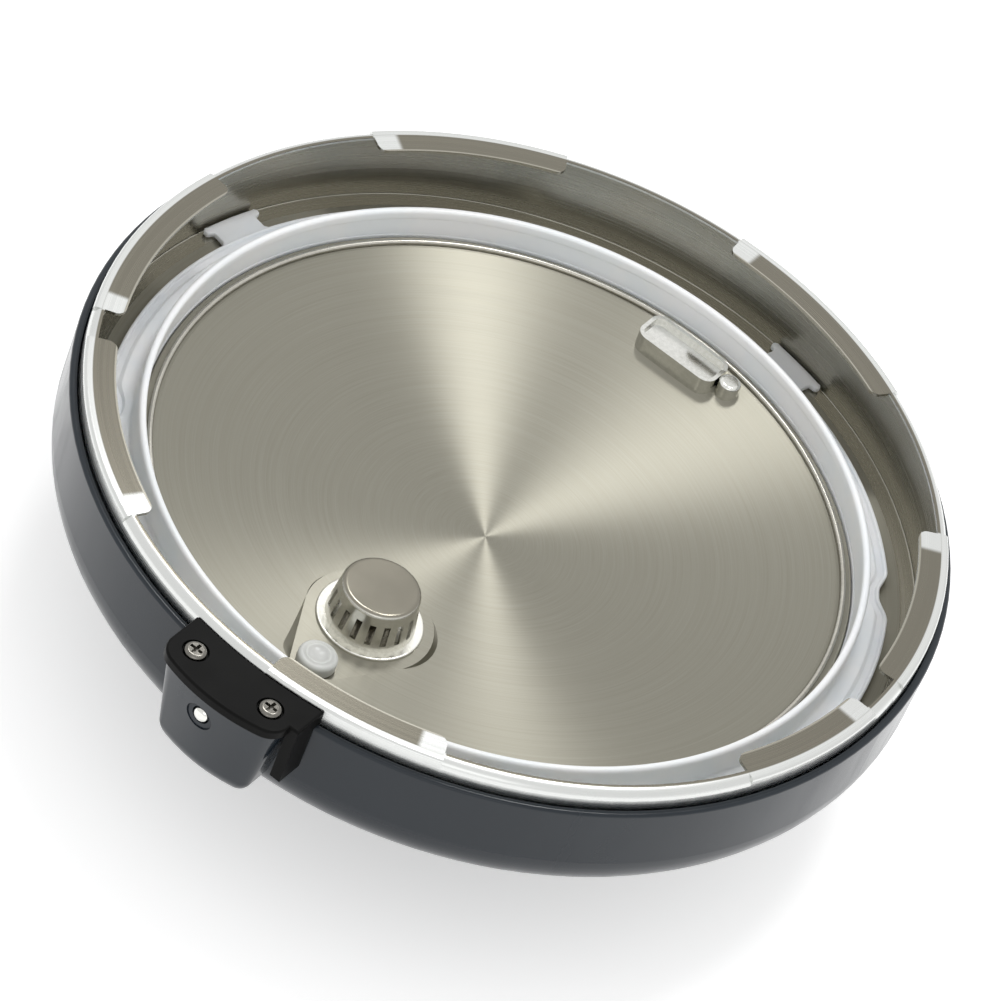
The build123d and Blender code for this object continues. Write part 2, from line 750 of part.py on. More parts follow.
leg_start = ear_width / 2 + shell_clearance
with BuildPart() as ear_plate:
    extrude(ear_outline(plate_z, ear_plate_overhang, ear_root_radius), amount=ear_plate_thickness)
    with BuildSketch(Plane.XY.offset(plate_top_z)):
        with Locations((leg_start + ear_leg_width / 2, -cover_outer_radius)):
            Rectangle(ear_leg_width, 2 * ear_leg_depth)
    extrude(amount=-ear_plate_thickness - ear_leg_height)
    fillet(ear_plate.edges().group_by(Axis.Z)[-1], ear_plate_edge_round)
    with BuildSketch(Plane.XY.offset(cover_top_z)):
        Circle(skirt_outer_radius + shell_clearance)
    extrude(amount=rim_z - cover_top_z, mode=Mode.SUBTRACT)
    add(cover_form(seat_clearance, cover_top_z + seat_clearance), mode=Mode.SUBTRACT)
    with BuildSketch(Plane.XY.offset(plate_z)):
        with Locations(*screw_spots):
            Circle(ear_shank_radius + running_clearance)
    extrude(amount=ear_plate_thickness, mode=Mode.SUBTRACT)
    with BuildSketch(Plane.XY.offset(screw_seat_z)):
        with Locations(*screw_spots):
            Circle(ear_head_radius + head_clearance)
    extrude(amount=ear_screw_sink, mode=Mode.SUBTRACT)
save(ear_plate.part, "ear_plate")

with BuildPart() as plate_screw:
    with BuildSketch(Plane.XY.offset(screw_seat_z)):
        Circle(ear_head_radius)
    extrude(amount=ear_head_height)
    fillet(plate_screw.edges().group_by(Axis.Z)[-1], ear_head_round)
    with BuildSketch(Plane.XY.offset(screw_seat_z)):
        Circle(ear_shank_radius)
    extrude(amount=-ear_screw_length)
    head_face = Plane.XY.offset(screw_seat_z + ear_head_height)
    extrude(cross_sketch(ear_head_radius, head_face), amount=-cross_depth, mode=Mode.SUBTRACT)
with BuildPart() as plate_screws:
    with Locations(*[(x, y, 0) for x, y in screw_spots]):
        add(plate_screw.part)
save(plate_screws.part, "plate_screws")

# ---------------------------------------------------------------- lock pin and its spring

pin_tip = skirt_inner_radius - pin_reach
pin_end = ear_face_radius - pin_sink
with BuildPart() as lock_pin:
    with BuildSketch(pin_plane(pin_tip)):
        Circle(pin_radius)
    extrude(amount=pin_end - pin_tip)
    fillet(lock_pin.edges().group_by(Axis.Y)[0], pin_dome_round)
    fillet(lock_pin.edges().group_by(Axis.Y)[-1], pin_tip_round)
    with BuildSketch(pin_plane(collar_start)):
        Circle(pin_collar_radius)
    extrude(amount=pin_collar_thickness)
save(lock_pin.part, "lock_pin")

with BuildPart() as lock_spring:
    with BuildLine() as coil:
        Helix(
            pitch=(spring_length - 2 * spring_wire_radius) / spring_turns,
            height=spring_length - 2 * spring_wire_radius,
            radius=spring_radius,
            center=(-pin_offset, -(spring_start + spring_wire_radius), pin_z),
            direction=(0, -1, 0),
        )
    with BuildSketch(Plane(origin=coil.line @ 0, z_dir=coil.line % 0)):
        Circle(spring_wire_radius)
    sweep(path=coil.line, is_frenet=True)
save(lock_spring.part, "lock_spring")

# ---------------------------------------------------------------- steam vent and filter cap


def ring_sketch(height, outer, inner, distance=vent_distance):
    """Flat ring about the vent's axis, or about another axis on the ear line."""
    with BuildSketch(Plane.XY.offset(height)) as flat_ring:
        with Locations((0, -distance)):
            Circle(outer)
            Circle(inner, mode=Mode.SUBTRACT)
    return flat_ring.sketch


flange_z = flat_z + gasket_thickness
vent_top_z = flange_z + vent_flange_height + vent_inner_length
collar_end_z = boss_z - collar_drop
knob_top_z = boss_z - collar_flange_thickness - knob_gap
knob_z = knob_top_z - knob_height
weight_z = knob_z + knob_floor + weight_lift + shell_clearance
weight_top_z = weight_z + weight_height
nozzle_z = weight_z + weight_seat
cone_top_z = nozzle_z + vent_nozzle_length

with BuildPart() as vent_gasket:
    extrude(ring_sketch(flat_z, vent_flange_radius, vent_radius + seat_clearance), amount=gasket_thickness)
save(vent_gasket.part, "vent_gasket")

with BuildPart() as vent_pipe:
    with BuildSketch(Plane.XZ.offset(vent_distance)):
        with BuildLine():
            Polyline(
                (vent_bore_radius, nozzle_z),
                (vent_nozzle_radius, nozzle_z),
                (vent_radius, cone_top_z),
                (vent_radius, flange_z),
                (vent_flange_radius, flange_z),
                (vent_flange_radius, flange_z + vent_flange_height),
                (vent_radius, flange_z + vent_flange_height),
                (vent_radius, vent_top_z),
                (vent_bore_radius, vent_top_z),
                close=True,
            )
        make_face()
    revolve(axis=vent_axis)
save(vent_pipe.part, "vent_pipe")

with BuildPart() as vent_nut:
    with BuildSketch(Plane.XY.offset(flat_z - sheet)):
        with Locations((0, -vent_distance)):
            RegularPolygon(nut_across_flats / 2, 6, major_radius=False)
            Circle(vent_radius + seat_clearance, mode=Mode.SUBTRACT)
    extrude(amount=-nut_height)
save(vent_nut.part, "vent_nut")

cap_z = flat_z + running_clearance
cap_rim_z = cap_z + cap_flange_thickness
cap_top_z = cap_z + cap_height
with BuildPart() as filter_cap:
    with BuildSketch(Plane.XZ.offset(vent_distance)) as section:
        with BuildLine():
            Polyline(
                (vent_flange_radius + running_clearance, cap_z),
                (cap_flange_radius, cap_z),
                (cap_flange_radius, cap_rim_z),
                (cap_base_radius, cap_rim_z),
                (cap_top_radius, cap_top_z),
                (0, cap_top_z),
                (0, cap_top_z - cap_wall),
                (cap_top_radius - cap_wall, cap_top_z - cap_wall),
                (cap_base_radius - cap_wall, cap_rim_z),
                (vent_flange_radius + running_clearance, cap_rim_z),
                close=True,
            )
        make_face()
        fillet(section.vertices().sort_by_distance((cap_top_radius, cap_top_z))[0], cap_top_round)
        inner_corner = (cap_top_radius - cap_wall, cap_top_z - cap_wall)
        fillet(section.vertices().sort_by_distance(inner_corner)[0], cap_top_round - cap_wall)
        outer_corner = (cap_flange_radius, cap_rim_z)
        fillet(section.vertices().sort_by_distance(outer_corner)[0], cap_flange_round)
    revolve(axis=vent_axis)
    with BuildSketch(Plane.XY.offset(cap_rim_z + cap_slot_rise)):
        with Locations((0, -vent_distance)):
            with PolarLocations(cap_base_radius, cap_slot_count):
                Rectangle(2 * (cap_wall + cap_base_radius - cap_top_radius), cap_slot_width)
    extrude(amount=cap_slot_height, mode=Mode.SUBTRACT)
save(filter_cap.part, "filter_cap")

# ---------------------------------------------------------------- float valve

float_end_z = crown_height(float_distance) - float_travel - float_proud
float_cap_z = flat_z + soft_clearance
float_head_z = float_cap_z + float_head_rise
float_axis = Axis((0, -float_distance, 0), (0, 0, 1))

with BuildPart() as float_bush:
    bush_bore = float_pin_radius + running_clearance
    extrude(
        ring_sketch(flat_z - sheet, bush_radius, bush_bore, float_distance),
        amount=-(flat_z - sheet - crown_height(float_distance)),
    )
save(float_bush.part, "float_bush")


def float_form(grow):
    """Float pin with its head, grown by a distance all over."""
    with BuildPart() as form:
        with BuildSketch(Plane.XZ):
            with BuildLine():
                Polyline(
                    (0, float_end_z),
                    (float_pin_radius + grow, float_end_z),
                    (float_pin_radius + grow, float_head_z - grow),
                    (float_head_radius + grow, float_head_z - grow),
                    (float_head_radius + grow, float_head_z + float_head_height + grow),
                    (0, float_head_z + float_head_height + grow),
                    close=True,
                )
            make_face()
        revolve(axis=Axis.Z)
    return form.part


with BuildPart() as float_pin:
    with Locations((0, -float_distance, 0)):
        add(float_form(0))
    fillet(float_pin.edges().group_by(Axis.Z)[0], float_tip_round)
save(float_pin.part, "float_pin")

with BuildPart() as float_cap:
    with BuildSketch(Plane.XY.offset(float_cap_z)):
        with Locations((0, -float_distance)):
            Circle(float_cap_radius)
    extrude(amount=float_cap_height)
    fillet(float_cap.edges().group_by(Axis.Z)[-1], float_cap_round)
    with Locations((0, -float_distance, 0)):
        add(float_form(running_clearance), mode=Mode.SUBTRACT)
save(float_cap.part, "float_cap")

# ---------------------------------------------------------------- release knob, collar and weight

collar_top_z = crown_height(vent_distance + collar_radius, cover_wall) + collar_rim
with BuildPart() as valve_collar:
    collar_bore = collar_radius - collar_wall
    extrude(ring_sketch(collar_end_z, collar_radius, collar_bore), amount=collar_top_z - collar_end_z)
    extrude(
        ring_sketch(boss_z, collar_flange_radius, collar_radius),
        amount=-collar_flange_thickness,
    )
save(valve_collar.part, "valve_collar")

with BuildPart() as release_knob:
    with BuildSketch(Plane.XY.offset(knob_z)):
        with Locations((0, -vent_distance)):
            Circle(knob_radius)
    extrude(amount=knob_height)
    with BuildSketch(Plane.XY.offset(knob_z)):
        with Locations((0, -vent_distance - knob_lever_length / 2)):
            SlotOverall(knob_lever_length, knob_lever_width, rotation=90)
    extrude(amount=knob_lever_height)
    fillet(release_knob.edges().group_by(Axis.Z)[0], knob_edge_round)
    with BuildSketch(Plane.XY.offset(knob_z + knob_floor)):
        with Locations((0, -vent_distance)):
            Circle(collar_radius + running_clearance)
    extrude(amount=knob_height, mode=Mode.SUBTRACT)
save(release_knob.part, "release_knob")

with BuildPart() as valve_weight:
    with BuildSketch(Plane.XZ.offset(vent_distance)):
        with BuildLine():
            Polyline(
                (0, weight_z),
                (collar_radius - collar_wall - weight_clearance, weight_z),
                (collar_radius - collar_wall - weight_clearance, weight_top_z),
                (vent_radius + running_clearance, weight_top_z),
                (vent_radius + running_clearance, cone_top_z),
                (vent_nozzle_radius + running_clearance, nozzle_z - running_clearance),
                (0, nozzle_z - running_clearance),
                close=True,
            )
        make_face()
    revolve(axis=vent_axis)
save(valve_weight.part, "valve_weight")
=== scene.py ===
"""Looks of a pressure-cooker lid with its sealing ring, lying underside up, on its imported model."""

import logging
import math
from dataclasses import dataclass, field
from enum import Enum
from typing import Callable, Iterable

import bpy
from mathutils import Matrix, Vector


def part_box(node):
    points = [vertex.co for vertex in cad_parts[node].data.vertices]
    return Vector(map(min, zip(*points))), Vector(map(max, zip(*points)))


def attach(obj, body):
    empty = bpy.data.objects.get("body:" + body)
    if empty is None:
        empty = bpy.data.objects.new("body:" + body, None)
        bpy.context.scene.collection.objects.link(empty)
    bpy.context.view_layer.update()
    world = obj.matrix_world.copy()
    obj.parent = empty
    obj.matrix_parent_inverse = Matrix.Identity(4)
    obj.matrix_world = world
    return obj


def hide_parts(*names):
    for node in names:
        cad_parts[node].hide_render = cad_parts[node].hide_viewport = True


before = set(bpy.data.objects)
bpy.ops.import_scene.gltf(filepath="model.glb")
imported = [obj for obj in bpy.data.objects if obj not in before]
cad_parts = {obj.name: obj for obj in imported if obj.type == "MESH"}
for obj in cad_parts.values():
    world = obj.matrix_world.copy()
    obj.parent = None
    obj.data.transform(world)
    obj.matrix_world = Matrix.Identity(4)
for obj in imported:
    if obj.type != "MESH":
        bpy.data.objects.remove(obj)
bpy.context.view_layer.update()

LOG = logging.getLogger("lid")
MM = 0.001
AXIS_Z = (0.0, 0.0, 1.0)
QUARTER_TURN = 0.25  # as the shader counts turns
WELD = MM / 500  # vertices closer than this become one
END_REACH = MM / 1000  # finds a line's end vertices
Colour = tuple[float, float, float]
Span = tuple[float, float]  # where a soft edge begins and where it is full
Test = Callable[[Vector], bool]


class Element(Enum):
    """Mesh elements that edit mode selects."""

    VERTEX = "VERT"
    EDGE = "EDGE"
    FACE = "FACE"


class Grain(Enum):
    """Ways in which a metal's grain runs."""

    CIRCLES = "circles round the lid's axis"
    STROKES = "straight strokes along X"
    NONE = "no grain"


# ---------------------------------------------------------------- node trees


class Tree:
    """Node tree, with short calls that add and join its nodes."""

    def __init__(self, tree: bpy.types.NodeTree) -> None:
        """Work on a tree that exists."""
        self.tree = tree

    def add(self, kind: str, **settings: object) -> bpy.types.Node:
        """Add a node.

        Args:
            kind: The node's type, without the ShaderNode prefix.
            settings: Properties to set on it.

        Returns:
            The new node.
        """
        node = self.tree.nodes.new("ShaderNode" + kind)
        for key, value in settings.items():
            setattr(node, key, value)
        return node

    def join(self, source: bpy.types.NodeSocket, target: bpy.types.NodeSocket) -> None:
        """Link one socket to another."""
        self.tree.links.new(source, target)

    def fill(self, target: bpy.types.NodeSocket, value: object) -> None:
        """Give a socket a constant, or link it where the value is a socket."""
        if isinstance(value, bpy.types.NodeSocket):
            self.join(value, target)
        else:
            target.default_value = value

    def math(self, operation: str, first: object, second: object = 0.0) -> bpy.types.NodeSocket:
        """Work out one number from two.

        Args:
            operation: Name of the Math node's operation.
            first: A number or a socket.
            second: A number or a socket.

        Returns:
            The result's socket.
        """
        node = self.add("Math", operation=operation)
        self.fill(node.inputs[0], first)
        self.fill(node.inputs[1], second)
        return node.outputs[0]

    def place(self) -> bpy.types.NodeSocket:
        """Object coordinates of the shaded point."""
        return self.add("TexCoord").outputs["Object"]

    def mapped(
        self, scale: Iterable[float], centre: Iterable[float] = (0, 0, 0)
    ) -> bpy.types.NodeSocket:
        """Object coordinates moved to a centre and scaled.

        Args:
            scale: Factor along each axis.
            centre: Point that becomes the origin, in metres.

        Returns:
            The vector's socket.
        """
        node = self.add("Mapping", vector_type="POINT")
        self.join(self.place(), node.inputs["Vector"])
        factors = tuple(scale)
        node.inputs["Scale"].default_value = factors
        node.inputs["Location"].default_value = tuple(-c * s for c, s in zip(centre, factors))
        return node.outputs[0]

    def noise(
        self, vector: bpy.types.NodeSocket, scale: float, detail: float = 4.0
    ) -> bpy.types.NodeSocket:
        """Smooth noise between 0 and 1.

        Args:
            vector: Where it is read.
            scale: Its fineness.
            detail: Number of finer layers.

        Returns:
            The value's socket.
        """
        node = self.add("TexNoise")
        self.join(vector, node.inputs["Vector"])
        node.inputs["Scale"].default_value = scale
        node.inputs["Detail"].default_value = detail
        return node.outputs["Fac"]

    def stretch(
        self, value: object, low: float, high: float, to_low: float = 0.0, to_high: float = 1.0
    ) -> bpy.types.NodeSocket:
        """Map a value from one span to another, held at both ends.

        Args:
            value: The value's socket.
            low: Lower end of its span.
            high: Upper end of its span.
            to_low: What the lower end becomes.
            to_high: What the upper end becomes.

        Returns:
            The result's socket.
        """
        node = self.add("MapRange", interpolation_type="SMOOTHSTEP")
        for socket, number in zip(node.inputs, (value, low, high, to_low, to_high)):
            self.fill(socket, number)
        return node.outputs["Result"]

    def blend(self, share: object, first: object, second: object) -> bpy.types.NodeSocket:
        """Mix two colours.

        Args:
            share: Share of the second, as a number or a socket.
            first: Colour or socket.
            second: Colour or socket.

        Returns:
            The colour's socket.
        """
        node = self.add("Mix", data_type="RGBA")
        self.fill(node.inputs[0], share)
        # A Mix node keeps its two colours in sockets 6 and 7, and their mix in output 2
        for socket, colour in ((node.inputs[6], first), (node.inputs[7], second)):
            self.fill(socket, (*colour, 1.0) if isinstance(colour, tuple) else colour)
        return node.outputs[2]

    def seen(self) -> bpy.types.NodeSocket:
        """Share that is 1 for camera, glossy and transmission rays."""
        path = self.add("LightPath")
        both = self.math("MAXIMUM", path.outputs["Is Camera Ray"], path.outputs["Is Glossy Ray"])
        return self.math("MAXIMUM", both, path.outputs["Is Transmission Ray"])


class Graph(Tree):
    """Node tree of one new material, round its Principled shader."""

    def __init__(self, name: str) -> None:
        """Start a material of that name."""
        self.material = bpy.data.materials.new(name)
        self.material.use_nodes = True
        super().__init__(self.material.node_tree)
        self.shader = self.tree.nodes["Principled BSDF"]

    def bump(self, height: bpy.types.NodeSocket, depth: float, strength: float = 1.0) -> None:
        """Raise the surface by a height texture.

        Args:
            height: Texture between 0 and 1.
            depth: Real height of a full step, in metres.
            strength: Share of the effect.
        """
        node = self.add("Bump")
        node.inputs["Strength"].default_value = strength
        node.inputs["Distance"].default_value = depth
        self.join(height, node.inputs["Height"])
        before = self.shader.inputs["Normal"]
        if before.is_linked:
            self.join(before.links[0].from_socket, node.inputs["Normal"])
        self.join(node.outputs["Normal"], before)

    def put(self, **values: object) -> None:
        """Set the shader's sockets, named with underscores for spaces."""
        for key, value in values.items():
            socket = self.shader.inputs[key.replace("_", " ")]
            if isinstance(value, tuple) and len(value) == 3 and socket.type == "RGBA":
                value = (*value, 1.0)
            self.fill(socket, value)


# ---------------------------------------------------------------- finishes


@dataclass(frozen=True)
class RimPaintedLight:
    """Painted light on the rim's steel: a painted reflection that lightens its outside face and
    shoulder, painted shade that darkens the lug tops, and painted highlights at the lug ends.

    Heights count from the rim's top, and the painted highlights' spans are degrees from a lug's end.
    """

    level: float
    lug_ends: tuple[float, ...]
    skirt_face: Span = (131.2 * MM, 131.8 * MM)
    turn_in: Span = (127.9 * MM, 128.5 * MM)
    shoulder: Span = (-3.2 * MM, -2.4 * MM)
    strip_outer: Span = (129.2 * MM, 129.6 * MM)
    strip_inner: Span = (122.9 * MM, 123.2 * MM)
    lug_top: Span = (-0.4 * MM, -0.1 * MM)
    # Spans of the painted highlights at the lug ends, in degrees
    highlight_start: Span = (-3.8, -2.9)
    highlight_end: Span = (0.0, 0.3)
    # Painted reflection colour for the outside face and shoulder, also used for the painted
    # highlights at the lug ends, then painted shade colour for the lug tops
    painted_reflection: Colour = (0.66, 0.67, 0.655)
    painted_lug_shade: Colour = (0.19, 0.178, 0.145)

    def paint_light(self, graph: Graph, colour: object, place: Iterable) -> bpy.types.NodeSocket:
        """Paint light over a colour: a painted reflection on the outside face and shoulder, painted
        shade on the lug tops and a painted highlight at one end of each lug.

        Args:
            graph: The material's tree.
            colour: The steel's own colour.
            place: The point's x, y and z.

        Returns:
            The new colour's socket.
        """
        x, y, z = place
        square = graph.math("ADD", graph.math("POWER", x, 2.0), graph.math("POWER", y, 2.0))
        reach = graph.math("SQRT", square)
        outside = graph.stretch(reach, *self.skirt_face)
        turned_in = graph.stretch(reach, *self.turn_in)
        near_rim = graph.stretch(z, *(self.level + rise for rise in self.shoulder))
        on_lug = graph.stretch(z, *(self.level + rise for rise in self.lug_top))
        inside = graph.math("SUBTRACT", 1.0, graph.stretch(reach, *self.strip_outer))
        beyond_edge = graph.stretch(reach, *self.strip_inner)
        # Painted shade on the lug tops
        lug_shade_share = graph.math("MULTIPLY", graph.math("MULTIPLY", on_lug, inside), beyond_edge)
        # Painted reflection on the skirt's outside face and on the shoulder near the rim's top
        reflection_share = graph.math("MAXIMUM", outside, graph.math("MULTIPLY", turned_in, near_rim))
        colour = graph.blend(lug_shade_share, graph.blend(reflection_share, colour, self.painted_reflection), self.painted_lug_shade)
        # Painted highlight at one end of each lug top, in the reflection colour
        steps = graph.math("MULTIPLY", lug_shade_share, self.lug_end_highlights(graph, x, y))
        return graph.blend(steps, colour, self.painted_reflection)

    def lug_end_highlights(self, graph: Graph, x: object, y: object) -> bpy.types.NodeSocket:
        """Share of the painted highlight that each lug has at one end.

        Args:
            graph: The material's tree.
            x: The point's x.
            y: The point's y.

        Returns:
            A share that is 1 within each lug's painted highlight sector.
        """
        turn = graph.math("ARCTAN2", y, x)
        steps = 0.0
        for end in self.lug_ends:
            start = (math.radians(end + far) for far in self.highlight_start)
            stop = (math.radians(end + far) for far in self.highlight_end)
            begun, ended = graph.stretch(turn, *start), graph.stretch(turn, *stop, 1.0, 0.0)
            steps = graph.math("MAXIMUM", steps, graph.math("MULTIPLY", begun, ended))
        return steps


@dataclass(frozen=True)
class BrushedSteel:
    """Stainless steel with a fine grain."""

    name: str
    grain: Grain
    light: Colour = (0.52, 0.505, 0.455)
    dark: Colour = (0.36, 0.345, 0.295)
    roughness: float = 0.30
    spread: float = 0.05
    anisotropy: float = 0.0
    grain_depth: float = 0.02 * MM
    streak_share: float = 0.65
    painted_light: RimPaintedLight | None = None
    # Painted shade: faces higher than this level take a darker colour
    shade_level: float | None = None
    shade_edge: Span = (-0.85 * MM, -0.25 * MM)
    painted_top_shade: Colour = (0.24, 0.225, 0.185)

    def material(self) -> bpy.types.Material:
        """Build the finish's material."""
        graph = Graph(self.name)
        split = graph.add("SeparateXYZ")
        graph.join(graph.place(), split.inputs[0])
        x, y, z = split.outputs
        streak, broad = self.streaks(graph, x, y, z)
        tone = graph.math(
            "ADD",
            graph.math("MULTIPLY", streak, self.streak_share),
            graph.math("MULTIPLY", broad, 1.0 - self.streak_share),
        )
        colour = graph.blend(graph.stretch(tone, 0.25, 0.75), self.dark, self.light)
        # Painted light on the rim: painted reflection, painted shade and painted highlights laid into
        # the colour
        if self.painted_light:
            colour = self.painted_light.paint_light(graph, colour, (x, y, z))
        # Painted shade that darkens the cap's top
        if self.shade_level is not None:
            top_shade_share = graph.stretch(z, *(self.shade_level + rise for rise in self.shade_edge))
            colour = graph.blend(top_shade_share, colour, self.painted_top_shade)
        low, high = self.roughness - self.spread, self.roughness + self.spread
        graph.put(
            Base_Color=colour,
            Metallic=1.0,
            Roughness=graph.stretch(broad, 0.3, 0.7, low, high),
            Anisotropic=self.anisotropy,
        )
        if self.anisotropy:
            tangent = graph.add("Tangent", direction_type="RADIAL", axis="Z")
            graph.join(tangent.outputs[0], graph.shader.inputs["Tangent"])
            graph.put(Anisotropic_Rotation=QUARTER_TURN)
        graph.bump(streak, self.grain_depth, 0.5)
        return graph.material

    def streaks(self, graph: Graph, x: object, y: object, z: object) -> tuple:
        """Fine and broad streaks along the grain.

        Args:
            graph: The material's tree.
            x: The point's x.
            y: The point's y.
            z: The point's z.

        Returns:
            A fine and a broad streak value.
        """
        if self.grain is Grain.CIRCLES:
            return self.circle_streaks(graph, x, y, z)
        if self.grain is Grain.STROKES:
            fine = graph.noise(graph.mapped((60, 4000, 4000)), 1.0, 3.0)
            return fine, graph.noise(graph.mapped((30, 300, 300)), 1.0, 2.0)
        fine = graph.noise(graph.place(), 900.0, 3.0)
        return fine, graph.noise(graph.place(), 60.0, 3.0)

    @staticmethod
    def circle_streaks(graph: Graph, x: object, y: object, z: object) -> tuple:
        """Streaks that run in circles round the lid's axis.

        Args:
            graph: The material's tree.
            x: The point's x.
            y: The point's y.
            z: The point's z.

        Returns:
            A fine and a broad streak value.
        """
        flat = graph.add("CombineXYZ")
        graph.join(x, flat.inputs[0])
        graph.join(y, flat.inputs[1])
        length = graph.add("VectorMath", operation="LENGTH")
        graph.join(flat.outputs[0], length.inputs[0])
        unit = graph.add("VectorMath", operation="NORMALIZE")
        graph.join(flat.outputs[0], unit.inputs[0])
        around = graph.add("SeparateXYZ")
        graph.join(unit.outputs[0], around.inputs[0])
        across = graph.math("ADD", length.outputs["Value"], z)
        values = []
        # Fineness across the grain and turns along it, for the fine and the broad streaks
        for fineness, turns in ((9000.0, 2.2), (1100.0, 0.9)):
            where = graph.add("CombineXYZ")
            graph.join(graph.math("MULTIPLY", around.outputs[0], turns), where.inputs[0])
            graph.join(graph.math("MULTIPLY", around.outputs[1], turns), where.inputs[1])
            graph.join(graph.math("MULTIPLY", across, fineness), where.inputs[2])
            values.append(graph.noise(where.outputs[0], 1.0, 3.0))
        return tuple(values)


@dataclass(frozen=True)
class Silicone:
    """Milky silicone that lets a little light through."""

    name: str
    colour: Colour = (0.93, 0.955, 0.975)
    deep: Colour = (0.86, 0.905, 0.96)
    reach: float = 4.0 * MM

    def material(self) -> bpy.types.Material:
        """Build the finish's material."""
        graph = Graph(self.name)
        cloud = graph.noise(graph.place(), 45.0, 3.0)
        skin = graph.noise(graph.place(), 2600.0, 2.0)
        graph.put(
            Base_Color=graph.blend(graph.stretch(cloud, 0.35, 0.65), self.deep, self.colour),
            Subsurface_Weight=0.7,
            Subsurface_Radius=(1.0, 1.0, 0.95),
            Subsurface_Scale=self.reach,
            IOR=1.41,
            Roughness=graph.stretch(skin, 0.3, 0.7, 0.30, 0.40),
            Coat_Weight=0.25,
            Coat_Roughness=0.18,
        )
        graph.bump(skin, 0.01 * MM, 0.35)
        return graph.material


@dataclass(frozen=True)
class MouldedPlastic:
    """Moulded plastic, glossy or with a fine satin grain."""

    name: str
    colour: Colour
    worn: Colour
    roughness: float
    coat: float = 0.0
    sheen_level: float = 0.5
    pebble: float = 1500.0
    pebble_depth: float = 0.02 * MM

    def material(self) -> bpy.types.Material:
        """Build the finish's material."""
        graph = Graph(self.name)
        cloud = graph.noise(graph.place(), 26.0, 4.0)
        pebble = graph.noise(graph.place(), self.pebble, 2.0)
        smear = graph.noise(graph.mapped((90, 90, 30)), 1.0, 4.0)
        graph.put(
            Base_Color=graph.blend(
                graph.stretch(cloud, 0.4, 0.75, 0.0, 0.6), self.colour, self.worn
            ),
            Roughness=graph.stretch(smear, 0.35, 0.75, self.roughness, self.roughness + 0.12),
            Specular_IOR_Level=self.sheen_level,
            Coat_Weight=self.coat,
            Coat_Roughness=0.06,
        )
        graph.bump(pebble, self.pebble_depth, 0.4)
        return graph.material


class Palette(Enum):
    """Every finish on the lid."""

    DISC = BrushedSteel(
        "brushed disc steel",
        Grain.CIRCLES,
        light=(0.355, 0.343, 0.29),
        dark=(0.295, 0.283, 0.234),
        roughness=0.385,
        anisotropy=1.0,
        grain_depth=0.0012 * MM,
        spread=0.01,
    )
    RIM = BrushedSteel(
        "bright rim steel",
        Grain.CIRCLES,
        light=(0.41, 0.395, 0.34),
        dark=(0.34, 0.325, 0.275),
        roughness=0.26,
        anisotropy=0.4,
        grain_depth=0.0006 * MM,
        spread=0.03,
        # Painted reflection, painted shade and painted highlights on the rim
        painted_light=RimPaintedLight(
            level=87.5 * MM,
            lug_ends=(-152.5, -116.0, -64.0, -0.75, 35.75, 93.5, 148.0),
        ),
    )
    POLISHED = BrushedSteel(
        "polished steel",
        Grain.NONE,
        light=(0.80, 0.80, 0.765),
        dark=(0.68, 0.68, 0.64),
        roughness=0.14,
        grain_depth=0.004 * MM,
    )
    SATIN = BrushedSteel(
        "satin steel",
        Grain.NONE,
        light=(0.33, 0.31, 0.265),
        dark=(0.27, 0.25, 0.21),
        roughness=0.22,
        grain_depth=0.0015 * MM,
    )
    WIRE = BrushedSteel(
        "drawn wire steel",
        Grain.NONE,
        light=(0.50, 0.485, 0.435),
        dark=(0.42, 0.405, 0.36),
        roughness=0.24,
        grain_depth=0.001 * MM,
        spread=0.04,
    )
    SCREW = BrushedSteel(
        "dull screw steel",
        Grain.NONE,
        light=(0.22, 0.21, 0.19),
        dark=(0.15, 0.145, 0.13),
        roughness=0.24,
        grain_depth=0.001 * MM,
        spread=0.04,
    )
    CAP = BrushedSteel(
        "pressed cap steel",
        Grain.NONE,
        light=(0.80, 0.79, 0.73),
        dark=(0.68, 0.67, 0.61),
        roughness=0.24,
        grain_depth=0.001 * MM,
        spread=0.04,
        # Painted shade darkens the cap's top, higher than this level
        shade_level=69.05 * MM,
    )
    STRAP = BrushedSteel(
        "rolled strap steel",
        Grain.STROKES,
        light=(0.50, 0.49, 0.45),
        dark=(0.36, 0.35, 0.32),
        roughness=0.34,
    )
    BRASS = BrushedSteel(
        "turned brass",
        Grain.NONE,
        light=(0.76, 0.57, 0.27),
        dark=(0.60, 0.43, 0.18),
        roughness=0.26,
    )
    RING = Silicone("milky silicone")
    BUTTON = Silicone(
        "white silicone", colour=(0.66, 0.66, 0.63), deep=(0.55, 0.56, 0.54), reach=2.0 * MM
    )
    SHELL = MouldedPlastic(
        "dark glossy shell",
        colour=(0.012, 0.017, 0.023),
        worn=(0.018, 0.025, 0.032),
        roughness=0.16,
        coat=0.1,
        sheen_level=0.28,
    )
    BLACK = MouldedPlastic(
        "black satin plastic",
        colour=(0.005, 0.005, 0.0048),
        worn=(0.010, 0.010, 0.0095),
        roughness=0.34,
        sheen_level=0.06,
        pebble=1100.0,
    )

    def made(self) -> bpy.types.Material:
        """The finish's material, built once."""
        known = bpy.data.materials.get(self.value.name)
        return known or self.value.material()


def dress(finish: Palette, *nodes: str) -> None:
    """Give CAD nodes a finish.

    Args:
        finish: The finish.
        nodes: Names of the nodes.
    """
    for name in nodes:
        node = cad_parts[name]
        node.data.materials.clear()
        node.data.materials.append(finish.made())
        LOG.info("%s is %s", name, finish.value.name)


# ---------------------------------------------------------------- hand tools


